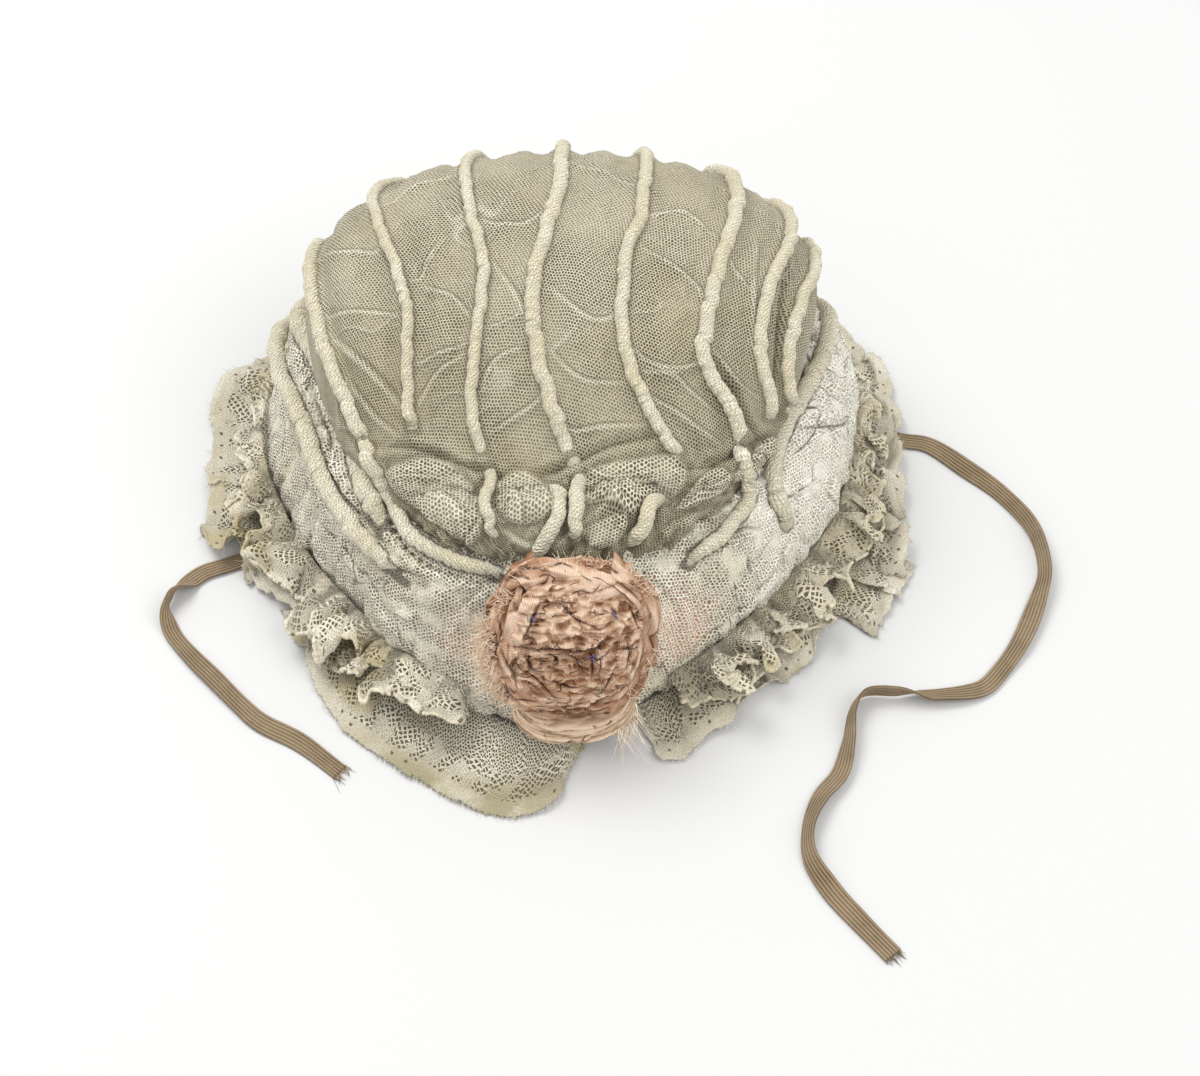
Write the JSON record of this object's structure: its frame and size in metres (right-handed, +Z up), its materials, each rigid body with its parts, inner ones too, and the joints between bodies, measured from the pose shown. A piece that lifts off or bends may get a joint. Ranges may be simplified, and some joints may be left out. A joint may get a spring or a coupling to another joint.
{
  "type": "lace winter hat",
  "caption": "Infant's corded net bonnet: domed net crown, padded front roll, crumpled lace ruffle, silk ribbon rosette and loose ribbed ties, lying on its opening.",
  "frame": {"origin": "on the table plane inside the head opening, under the crown's middle line, a little ahead of the opening's middle", "axes": "+Z up from the table the opening lies on, -Y to the front where the rosette is, +X to the viewer's right with the rosette facing them"},
  "size_m": [0.2364, 0.2492, 0.0793],
  "materials": {
    "crown_net": "matt yellowed cotton net in two layers",
    "cotton_cord": "matt net-covered cotton cord",
    "roll_net": "matt off-white net over faded pink silk",
    "ruffle_lace": "matt grey-cream lace with ochre stains",
    "rosette_silk": "dull, creased dusty-pink silk ribbon",
    "tie_ribbon": "matt brown ribbed ribbon"
  },
  "bodies": {
    "root": {"padded_front_roll": "roll_net", "net_crown": "crown_net", "crown_cord_1": "cotton_cord", "crown_cord_2": "cotton_cord", "crown_cord_3": "cotton_cord", "crown_cord_4": "cotton_cord", "crown_cord_5": "cotton_cord", "crown_cord_6": "cotton_cord", "crown_cord_7": "cotton_cord", "crown_cord_8": "cotton_cord", "puff_cord_left": "cotton_cord", "puff_cord_right": "cotton_cord", "roll_cord_left_inner": "cotton_cord", "roll_cord_left_outer": "cotton_cord", "roll_cord_right_inner": "cotton_cord", "lace_ruffle": "ruffle_lace", "heading_frill_left": "ruffle_lace", "heading_frill_right": "ruffle_lace", "rosette": "rosette_silk", "rosette_petal": "rosette_silk", "tie_left": "tie_ribbon", "tie_right": "tie_ribbon"}
  },
  "joints": []
}
